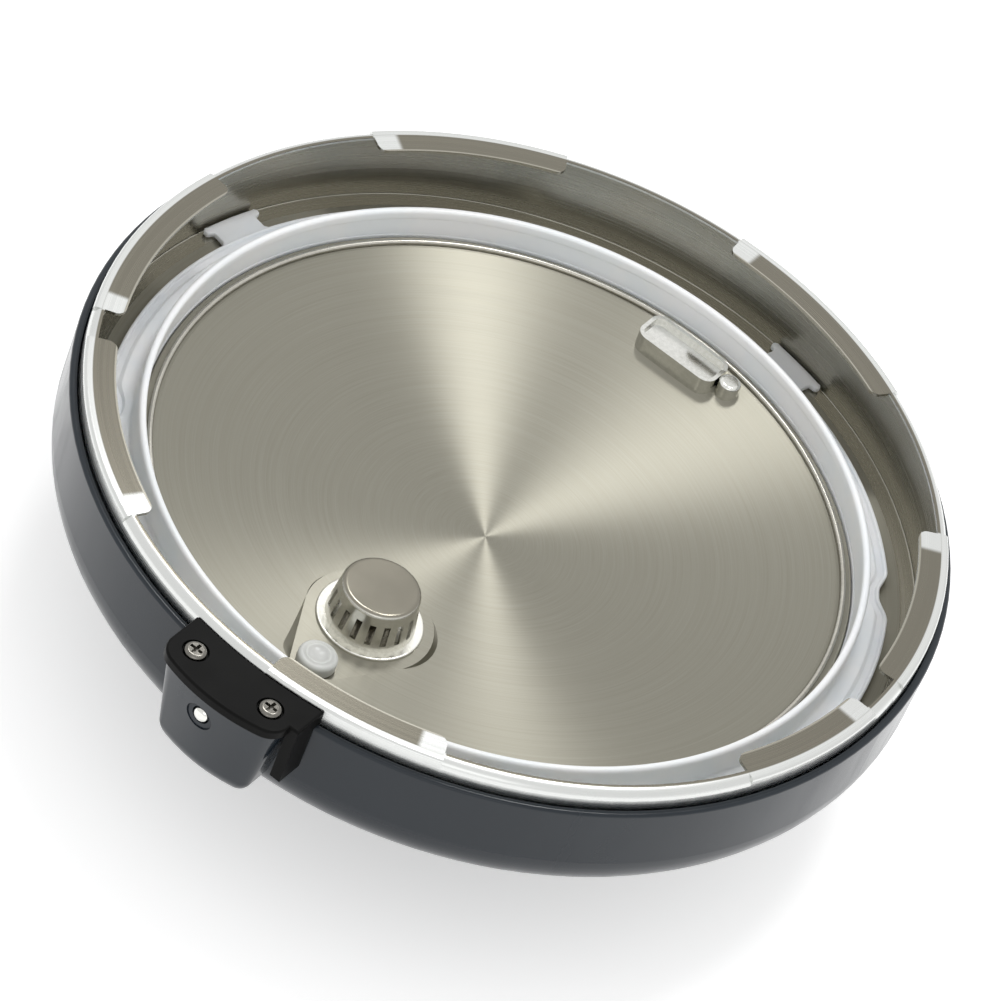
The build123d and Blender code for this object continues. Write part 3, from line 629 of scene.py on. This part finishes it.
class Bench:
    """Edit-mode tools for one new piece."""

    def __init__(self, name: str) -> None:
        """Start with nothing selected and no mesh."""
        bpy.ops.object.select_all(action="DESELECT")
        self.name = name

    def start(self, primitive: Callable, **sizes: object) -> None:
        """Add a primitive and open it in edit mode.

        Args:
            primitive: The mesh operator that adds it.
            sizes: The operator's own arguments.
        """
        primitive(**sizes)
        self.piece = bpy.context.object
        self.piece.name = self.name
        bpy.ops.object.mode_set(mode="EDIT")

    def start_point(self, place: Iterable[float]) -> None:
        """Open an edit-mode mesh that holds one vertex.

        Args:
            place: Where the vertex lies.
        """
        self.start(bpy.ops.mesh.primitive_plane_add, size=MM, location=(0, 0, 0))
        bpy.ops.mesh.merge(type="CENTER")
        bpy.ops.transform.translate(value=tuple(place))

    def draw(self, points: list[tuple[float, float, float]], closed: bool = True) -> None:
        """Draw a line of points by extruding a vertex, and close it.

        Args:
            points: The points, in metres.
            closed: Whether the last one is joined to the first.
        """
        self.start_point(points[0])
        for before, after in zip(points, points[1:]):
            step = Vector(after) - Vector(before)
            bpy.ops.mesh.extrude_region_move(TRANSFORM_OT_translate={"value": tuple(step)})
        if closed:
            ends = [Vector(point) for point in (points[0], points[-1])]
            self.choose(lambda co: min((co - end).length for end in ends) < END_REACH)
            bpy.ops.mesh.edge_face_add()

    def choose(self, test: Test, element: Element = Element.VERTEX) -> int:
        """Select the elements whose every vertex passes a test.

        Args:
            test: Says whether a vertex counts, from its place.
            element: What is selected.

        Returns:
            How many were selected.
        """
        bpy.ops.mesh.select_mode(type=element.value)
        bpy.ops.mesh.select_all(action="DESELECT")
        bpy.ops.object.mode_set(mode="OBJECT")
        mesh = self.piece.data
        inside = [test(v.co) for v in mesh.vertices]
        count = 0
        if element is Element.VERTEX:
            for vertex, chosen in zip(mesh.vertices, inside):
                vertex.select = chosen
                count += chosen
        else:
            group = mesh.edges if element is Element.EDGE else mesh.polygons
            for item in group:
                item.select = all(inside[i] for i in item.vertices)
                count += item.select
        bpy.ops.object.mode_set(mode="EDIT")
        return count

    def everything(self) -> None:
        """Select the whole mesh."""
        bpy.ops.mesh.select_all(action="SELECT")

    def spin(self, steps: int, centre: Iterable[float], axis: Iterable[float] = AXIS_Z) -> None:
        """Turn the drawn line into a closed body of revolution.

        Args:
            steps: Number of steps round.
            centre: A point on the axis.
            axis: Direction of the axis.
        """
        self.everything()
        bpy.ops.mesh.spin(steps=steps, angle=math.tau, center=tuple(centre), axis=tuple(axis))
        self.everything()
        bpy.ops.mesh.remove_doubles(threshold=WELD)
        bpy.ops.mesh.normals_make_consistent(inside=False)

    def modify(self, kind: str, **settings: object) -> None:
        """Add a modifier and apply it.

        Args:
            kind: The modifier's type.
            settings: Its properties.
        """
        bpy.ops.object.mode_set(mode="OBJECT")
        modifier = self.piece.modifiers.new(kind.lower(), kind)
        for key, value in settings.items():
            setattr(modifier, key, value)
        bpy.context.view_layer.objects.active = self.piece
        bpy.ops.object.modifier_apply(modifier=modifier.name)
        bpy.ops.object.mode_set(mode="EDIT")

    def done(
        self, finish: Palette, slot: str, body: str, *nodes: str, angle: float = 35.0
    ) -> None:
        """Close edit mode, put the place in the mesh, and hand the piece to the frame.

        Args:
            finish: The piece's finish.
            slot: The record's material slot; not used.
            body: The body that it rides on.
            nodes: CAD nodes that it stands for.
            angle: Edges sharper than this stay sharp, in degrees.
        """
        bpy.ops.object.mode_set(mode="OBJECT")
        bpy.ops.object.select_all(action="DESELECT")
        self.piece.select_set(True)
        bpy.context.view_layer.objects.active = self.piece
        bpy.ops.object.transform_apply(location=True, rotation=True, scale=True)
        bpy.ops.object.shade_smooth_by_angle(angle=math.radians(angle))
        self.piece.data.materials.clear()
        self.piece.data.materials.append(finish.made())
        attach(self.piece, body)
        if nodes:
            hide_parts(*nodes)
        LOG.info("%s rides on %s and stands for %s", self.name, body, nodes or "nothing")


def arc(centre: tuple[float, float], radius: float, start: float, end: float, steps: int) -> list:
    """Points of an arc in a section's plane.

    Args:
        centre: The arc's centre, as distance and height.
        radius: The arc's radius.
        start: First angle, in degrees.
        end: Last angle, in degrees.
        steps: Number of steps between them.

    Returns:
        Points as distance and height.
    """
    turns = [math.radians(start + (end - start) * i / steps) for i in range(steps + 1)]
    return [(centre[0] + radius * math.cos(t), centre[1] + radius * math.sin(t)) for t in turns]


# ---------------------------------------------------------------- sealing ring


@dataclass
class SealingRing:
    """Silicone ring with a raised lip, an edge bead, T-shaped tabs and scallops."""

    bore: float = 110.0 * MM
    flange: float = 121.5 * MM
    lip_wall: float = 2.4 * MM
    height: float = 13.0 * MM
    flange_thickness: float = 3.0 * MM
    edge_thickness: float = 1.9 * MM
    corner: float = 0.5 * MM
    foot_inset: float = 3.0 * MM
    bead: float = 0.65 * MM
    bead_rise: float = 0.1 * MM
    hollow_rise: float = 0.35 * MM
    shelf_inset: float = 3.2 * MM
    shelf_dip: float = 0.12 * MM
    plateau_inset: float = 4.6 * MM
    plateau_round: float = 0.7 * MM
    root_round: float = 1.1 * MM
    root_margin: float = 0.5 * MM
    crown_share: float = 0.46
    crown_depth: float = 3.0 * MM
    relief: float = 0.25 * MM
    relief_top: float = 3.2 * MM
    relief_foot: float = 2.6 * MM
    relief_slope: float = 0.4 * MM
    scallop_depth: float = 3.0 * MM
    scallop_reach: float = 9.0 * MM
    scallop_grip: float = 2.0 * MM
    tab_count: int = 4
    tab_end: float = 130.0 * MM
    tab_root: float = 1.2 * MM
    tab_flare: float = 1.7 * MM
    tab_bevel: float = 0.35 * MM
    tab_front_steps: int = 10
    neck: float = 16.5 * MM
    head: float = 21.6 * MM
    head_depth: float = 2.6 * MM
    steps: int = 720
    turn: float = math.radians(-57.0)
    base: float = field(init=False)

    def __post_init__(self) -> None:
        """Take the ring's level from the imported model."""
        low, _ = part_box("sealing_ring")
        self.base = low.z

    def section(self) -> list[tuple[float, float]]:
        """Outline of the ring's section, as distance from the axis and height."""
        base, top = self.base, self.base + self.height
        shelf, plateau = base + self.edge_thickness, base + self.flange_thickness
        lip_out, relieved = self.bore + self.lip_wall, self.bore + self.relief
        corner, bead, root = self.corner, self.bead, self.root_round
        end, crown = self.plateau_round, self.lip_wall * self.crown_share
        # Underside, from the bore out to the bead on the flange's edge
        points = [(self.bore, base + corner)]
        points += arc((self.bore + corner, base + corner), corner, 180, 270, 4)[1:]
        points += [(self.bore + self.foot_inset, base), (self.flange - self.foot_inset, base)]
        points += arc((self.flange - corner, base + corner), corner, 270, 360, 4)
        points += arc((self.flange - bead, shelf + self.bead_rise), bead, 0, 180, 8)
        # Hollow behind the bead, then the shelf, the plateau and the lip's root
        hollow = (self.flange - 2 * bead - corner, shelf + self.hollow_rise)
        points += arc(hollow, corner, 360, 270, 4)[1:]
        points += [(self.flange - self.shelf_inset, shelf - self.shelf_dip)]
        points += arc((self.flange - self.plateau_inset, plateau - end), end, 20, 100, 5)
        points += [(lip_out + root + self.root_margin, plateau)]
        points += arc((lip_out + root, plateau + root), root, 270, 180, 6)[1:]
        # The lip's rounded top, and the relief down its inner face
        points += [(lip_out, top - self.crown_depth)]
        points += arc((lip_out - crown, top - crown), crown, 0, 90, 6)
        points += arc((self.bore + crown, top - crown), crown, 90, 180, 6)
        high, low, slope = top - self.relief_top, base + self.relief_foot, self.relief_slope
        points += [(self.bore, high), (relieved, high - slope)]
        points += [(relieved, low + slope), (self.bore, low)]
        return points

    def build(self) -> None:
        """Spin the section, press the scallops in and add the tabs."""
        tabs = [
            self.tab(self.turn + math.tau * (quarter + 0.5) / self.tab_count)
            for quarter in range(self.tab_count)
        ]
        bench = Bench("silicone_ring")
        bench.draw([(r, 0.0, z) for r, z in self.section()])
        bench.spin(self.steps, (0, 0, 0))
        for quarter in range(self.tab_count):
            self.press_scallop(bench, self.turn + math.tau * quarter / self.tab_count)
        for tab in tabs:
            bench.modify("BOOLEAN", operation="UNION", object=tab, solver="EXACT")
            bpy.data.objects.remove(tab)
        bench.everything()
        bpy.ops.mesh.remove_doubles(threshold=WELD)
        bench.done(Palette.RING, "silicone", "ring", "sealing_ring", "ring_lip", angle=32.0)

    def press_scallop(self, bench: Bench, turn: float) -> None:
        """Press a smooth scallop into the flange's edge.

        Args:
            bench: The ring's bench.
            turn: Its place round the ring, in radians.
        """
        outward = Vector((math.cos(turn), math.sin(turn), 0))
        width = math.tau / self.steps * 1.5
        bench.choose(
            lambda co: co.xy.length > self.flange - self.scallop_grip
            and abs(outward.angle(Vector((co.x, co.y, 0)))) < width
        )
        bpy.ops.transform.translate(
            value=tuple(-outward * self.scallop_depth),
            use_proportional_edit=True,
            proportional_edit_falloff="SMOOTH",
            proportional_size=self.scallop_reach,
            use_proportional_connected=True,
        )

    def tab(self, turn: float) -> bpy.types.Object:
        """Make one T-shaped tab with rounded corners.

        Args:
            turn: Its place round the ring, in radians.

        Returns:
            The tab's object, which a union then takes in.
        """
        bench = Bench("tab")
        root = self.flange - self.tab_root
        throat = self.tab_end - self.head_depth - 0.4 * MM
        half_neck, half_head = self.neck / 2, self.head / 2
        crest = math.sqrt(self.tab_end**2 - half_head**2)
        side = [
            # The flare out of the flange's edge
            (root, half_neck + self.tab_flare),
            (root + 1.4 * MM, half_neck + 0.55 * self.tab_flare),
            (root + 2.2 * MM, half_neck + 0.1 * MM),
            # The rounded corner between the neck and the head
            (throat - 1.0 * MM, half_neck),
            (throat - 0.3 * MM, half_neck + 0.25 * MM),
            (throat, half_neck + 1.0 * MM),
            # The head's rounded end
            (throat + 0.05 * MM, half_head - 1.0 * MM),
            (throat + 0.45 * MM, half_head - 0.3 * MM),
            (throat + 1.2 * MM, half_head),
            (crest - 0.5 * MM, half_head - 0.1 * MM),
            (crest + 0.3 * MM, half_head - 0.9 * MM),
        ]
        widest, count = math.asin((half_head - 1.8 * MM) / self.tab_end), self.tab_front_steps
        bow = [widest * (1 - 2 * i / count) for i in range(count + 1)]
        front = [(self.tab_end * math.cos(a), self.tab_end * math.sin(a)) for a in bow]
        outline = side + front + [(x, -y) for x, y in reversed(side)]
        bench.draw([(x, y, self.base) for x, y in outline])
        bench.everything()
        bpy.ops.mesh.edge_face_add()
        bpy.ops.mesh.extrude_region_move(
            TRANSFORM_OT_translate={"value": (0, 0, self.edge_thickness)}
        )
        bench.everything()
        bpy.ops.mesh.normals_make_consistent(inside=False)
        bench.modify(
            "BEVEL",
            width=self.tab_bevel,
            segments=3,
            limit_method="ANGLE",
            angle_limit=math.radians(60),
        )
        bpy.ops.object.mode_set(mode="OBJECT")
        bench.piece.data.transform(Matrix.Rotation(turn, 4, "Z"))
        return bench.piece


# ---------------------------------------------------------------- float button and vent washer


@dataclass
class FloatButton:
    """Soft button on the float pin's head, with a raised rim round a shallow dimple."""

    radius: float = 6.0 * MM
    bore: float = 2.05 * MM
    pocket: float = 3.85 * MM
    pocket_low: float = 1.55 * MM
    pocket_high: float = 3.2 * MM
    edge_round: float = 1.3 * MM
    foot_round: float = 0.4 * MM
    rim_radius: float = 3.6 * MM
    rim_half: float = 0.7 * MM
    rim_foot: float = 0.1 * MM
    dimple: float = 0.35 * MM
    dimple_dip: float = 0.25 * MM
    steps: int = 144

    def section(self, base: float, top: float) -> list[tuple[float, float]]:
        """Outline of the button's section, as distance from its axis and height."""
        face, foot, edge = top - self.dimple, self.foot_round, self.edge_round
        high, low = base + self.pocket_high, base + self.pocket_low
        rim, half, fall = self.rim_radius, self.rim_half, self.rim_foot
        points = [(0.0, high), (self.pocket, high), (self.pocket, low), (self.bore, low)]
        points += [(self.bore, base)]
        points += arc((self.radius - foot, base + foot), foot, 270, 360, 4)
        points += arc((self.radius - edge, face - edge), edge, 0, 90, 8)
        points += [(rim + half + fall, face)]
        points += arc((rim, top - half), half, 60, 120, 6)
        points += [(rim - half - 2 * fall, face - fall), (0.0, face - self.dimple_dip)]
        return points

    def build(self) -> None:
        """Spin the section about the float's axis."""
        low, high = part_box("float_cap")
        centre = (low + high) / 2
        bench = Bench("float_button")
        points = [(centre.x + r, centre.y, z) for r, z in self.section(low.z, high.z)]
        bench.draw(points, closed=False)
        bench.spin(self.steps, (centre.x, centre.y, 0))
        bench.done(Palette.BUTTON, "silicone", "float", "float_cap", angle=40.0)


@dataclass
class VentWasher:
    """Soft washer under the vent's flange, with rounded edges and one groove round its side."""

    bore: float = 4.02 * MM
    radius: float = 8.0 * MM
    edge_round: float = 0.3 * MM
    groove: float = 0.12 * MM
    steps: int = 144

    def section(self, base: float, top: float) -> list[tuple[float, float]]:
        """Outline of the washer's section, as distance from its axis and height."""
        e, middle = self.edge_round, (base + top) / 2
        points = arc((self.bore + e, top - e), e, 90, 180, 4)
        points += arc((self.bore + e, base + e), e, 180, 270, 4)
        points += arc((self.radius - e, base + e), e, 270, 360, 4)
        points += [(self.radius - self.groove, middle)]
        return points + arc((self.radius - e, top - e), e, 0, 90, 4)

    def build(self) -> None:
        """Spin the section about the vent's axis."""
        low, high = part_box("vent_gasket")
        centre = (low + high) / 2
        bench = Bench("vent_washer")
        bench.draw([(centre.x + r, centre.y, z) for r, z in self.section(low.z, high.z)])
        bench.spin(self.steps, (centre.x, centre.y, 0))
        bench.done(Palette.BUTTON, "silicone", "lid", "vent_gasket", angle=40.0)


# ---------------------------------------------------------------- studio


@dataclass
class Lamp:
    """One soft lamp, by its direction from the lid."""

    name: str
    azimuth: float
    elevation: float
    distance: float
    size: tuple[float, float]
    power: float

    def place(self, target: Vector) -> None:
        """Hang the lamp and aim it.

        Args:
            target: The point it is aimed at.
        """
        turn, rise = math.radians(self.azimuth), math.radians(self.elevation)
        flat = math.cos(rise)
        away = Vector((flat * math.cos(turn), flat * math.sin(turn), math.sin(rise)))
        data = bpy.data.lights.new(self.name, "AREA")
        data.shape = "RECTANGLE"
        data.size, data.size_y = self.size
        data.energy = self.power
        lamp = bpy.data.objects.new(self.name, data)
        lamp.location = target + away * self.distance
        lamp.rotation_euler = (-away).to_track_quat("-Z", "Y").to_euler()
        bpy.context.scene.collection.objects.link(lamp)


@dataclass
class Studio:
    """Pale floor, soft lamps and the camera."""

    azimuth: float = 20.2
    elevation: float = 43.4
    roll: float = 22.85
    distance: float = 1.58
    lens: float = 192.0
    floor_size: float = 12.0
    floor_glow: float = 0.42
    air_light: float = 0.88
    target: Vector = field(default_factory=lambda: Vector((0.0, 0.0, 0.063)))
    lamps: tuple[Lamp, ...] = (
        Lamp("side key", azimuth=128.5, elevation=60.0, distance=1.6, size=(0.3, 0.3), power=3.7),
        Lamp("back key", azimuth=78.5, elevation=72.0, distance=1.6, size=(0.3, 0.3), power=4.8),
        Lamp("front fill", azimuth=-60.0, elevation=25.0, distance=2.0, size=(1.2, 0.8), power=2.0),
    )

    def build(self) -> None:
        """Lay the floor, light the world and set the camera."""
        self.lay_floor()
        self.light_world()
        for lamp in self.lamps:
            lamp.place(self.target)
        self.set_camera()

    def lay_floor(self) -> None:
        """Lay a pale floor that keeps the lid's shadow."""
        bpy.ops.object.select_all(action="DESELECT")
        bpy.ops.mesh.primitive_plane_add(size=self.floor_size, location=(0, 0, 0))
        floor = bpy.context.object
        floor.name = "floor"
        graph = Graph("pale floor")
        cloud = graph.noise(graph.place(), 3.0, 2.0)
        graph.put(
            Base_Color=graph.blend(cloud, (0.86, 0.86, 0.86), (0.90, 0.90, 0.90)),
            Roughness=0.9,
            Emission_Color=(1.0, 1.0, 1.0),
        )
        graph.put(Emission_Strength=graph.math("MULTIPLY", graph.seen(), self.floor_glow))
        floor.data.materials.append(graph.material)

    def light_world(self) -> None:
        """Make the world soft and pale, and white where it is seen."""
        world = bpy.data.worlds.new("studio air")
        bpy.context.scene.world = world
        world.use_nodes = True
        air = Tree(world.node_tree)
        background = air.tree.nodes["Background"]
        air.fill(background.inputs["Color"], (1.0, 1.0, 1.0, 1.0))
        strength = air.stretch(air.seen(), 0.0, 1.0, self.air_light, 1.0)
        air.fill(background.inputs["Strength"], strength)

    def set_camera(self) -> None:
        """Look at the lid from the front and above, rolled as the lid leans."""
        turn, rise = math.radians(self.azimuth), math.radians(self.elevation)
        flat = math.cos(rise)
        away = Vector((flat * math.sin(turn), -flat * math.cos(turn), math.sin(rise)))
        data = bpy.data.cameras.new("camera")
        data.lens = self.lens
        camera = bpy.data.objects.new("camera", data)
        facing = (-away).to_track_quat("-Z", "Y").to_matrix().to_4x4()
        camera.matrix_world = (
            Matrix.Translation(self.target + away * self.distance)
            @ facing
            @ Matrix.Rotation(math.radians(self.roll), 4, "Z")
        )
        bpy.context.scene.collection.objects.link(camera)
        bpy.context.scene.camera = camera
        bpy.context.scene.view_settings.view_transform = "Standard"


# ---------------------------------------------------------------- the whole lid


def main() -> None:
    """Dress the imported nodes, build the new pieces and set the studio."""
    logging.basicConfig(level=logging.INFO, format="%(name)s: %(message)s")
    dress(Palette.DISC, "lid_pan")
    dress(Palette.RIM, "lid_rim")
    dress(Palette.WIRE, "disc_hoop")
    dress(Palette.SCREW, "plate_screws")
    dress(Palette.POLISHED, "edge_bracket", "bracket_stud", "handle_screws", "lock_pin")
    dress(Palette.CAP, "filter_cap")
    dress(Palette.SATIN, "vent_pipe", "vent_nut", "float_pin", "valve_collar", "handle_studs")
    dress(Palette.SATIN, "lock_spring")
    dress(Palette.STRAP, "ear_bracket")
    dress(Palette.BRASS, "valve_weight")
    dress(Palette.SHELL, "outer_cover", "ear_block")
    dress(Palette.BLACK, "top_handle", "release_knob", "ear_plate", "float_bush")
    dress(Palette.RING, "sealing_ring", "ring_lip")
    dress(Palette.BUTTON, "float_cap", "vent_gasket")
    SealingRing().build()
    FloatButton().build()
    VentWasher().build()
    Studio().build()


if __name__ == "__main__":
    main()
